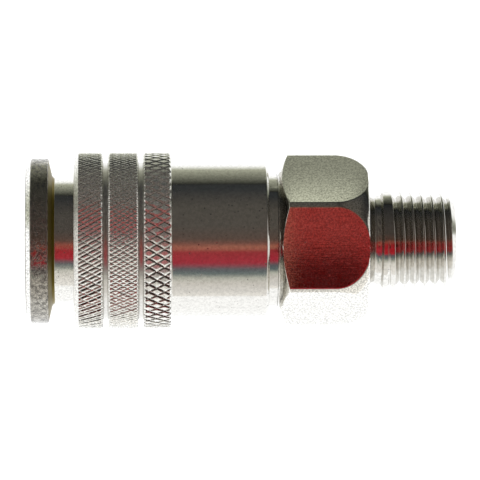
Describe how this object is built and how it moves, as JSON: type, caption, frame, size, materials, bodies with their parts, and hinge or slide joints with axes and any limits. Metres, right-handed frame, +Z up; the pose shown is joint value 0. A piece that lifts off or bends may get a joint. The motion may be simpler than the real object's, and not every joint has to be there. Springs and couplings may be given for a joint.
{
  "type": "quick disconnect coupler",
  "caption": "Compressed-air quick coupler socket: knurled locking sleeve, locking balls and spring-loaded tube valve, with a hexagon and a male taper pipe thread at the back.",
  "frame": {"origin": "centre of the mouth, where the plug goes in, on the coupler's axis", "axes": "+X along the axis from the mouth to the pipe thread, +Z up with the coupler lying on its side"},
  "size_m": [0.0598, 0.0244, 0.0244],
  "materials": {
    "plated_body": "bright nickel plate over turned steel, satin with fine turning marks",
    "plated_sleeve": "bright nickel plate over knurled steel",
    "plated_adapter": "bright nickel plate over hexagon steel, brushed flats",
    "spring_steel": "drawn wire",
    "hard_steel": "ground and polished",
    "valve_brass": "turned brass",
    "seal_rubber": "moulded nitrile rubber"
  },
  "bodies": {
    "body": {"socket_body": "plated_body", "thread_adapter": "plated_adapter", "valve_seat_ring": "valve_brass", "seat_ring_seal": "seal_rubber", "seat_retaining_ring": "spring_steel", "body_gasket": "seal_rubber", "spring_back_washer": "spring_steel", "sleeve_spring": "spring_steel", "valve_spring": "spring_steel"},
    "washer": {"spring_front_washer": "spring_steel"},
    "sleeve": {"locking_sleeve": "plated_sleeve"},
    "valve": {"valve_tube": "valve_brass", "valve_face_seal": "seal_rubber", "valve_head_ring": "seal_rubber", "valve_shut_ring": "seal_rubber", "valve_cap": "valve_brass"},
    "ball_1": {"locking_ball_1": "hard_steel"},
    "ball_2": {"locking_ball_2": "hard_steel"},
    "ball_3": {"locking_ball_3": "hard_steel"},
    "ball_4": {"locking_ball_4": "hard_steel"}
  },
  "joints": [
    {"name": "sleeve_slide", "type": "slide", "parent": "body", "child": "washer", "axis": [-1, 0, 0], "range_m": [0, 0.0029], "deforming": ["sleeve_spring"]},
    {"name": "sleeve_spin", "type": "hinge", "parent": "washer", "child": "sleeve", "pos_m": [0.02, 0, 0], "axis": [1, 0, 0], "continuous": true},
    {"name": "valve_slide", "type": "slide", "parent": "body", "child": "valve", "axis": [1, 0, 0], "range_m": [0, 0.00576], "deforming": ["valve_spring"]},
    {"name": "ball_1_slide", "type": "slide", "parent": "body", "child": "ball_1", "axis": [0, 0, -1], "range_m": [0, 0.00085]},
    {"name": "ball_2_slide", "type": "slide", "parent": "body", "child": "ball_2", "axis": [0, -1, 0], "range_m": [0, 0.00085]},
    {"name": "ball_3_slide", "type": "slide", "parent": "body", "child": "ball_3", "axis": [0, 0, 1], "range_m": [0, 0.00085]},
    {"name": "ball_4_slide", "type": "slide", "parent": "body", "child": "ball_4", "axis": [0, 1, 0], "range_m": [0, 0.00085]}
  ],
  "couplings": [
    {"joint": "valve_slide", "follows": "sleeve_slide", "ratio": 1.9862},
    {"joint": "ball_1_slide", "follows": "sleeve_slide", "ratio": 0.2931},
    {"joint": "ball_2_slide", "follows": "sleeve_slide", "ratio": 0.2931},
    {"joint": "ball_3_slide", "follows": "sleeve_slide", "ratio": 0.2931},
    {"joint": "ball_4_slide", "follows": "sleeve_slide", "ratio": 0.2931}
  ]
}
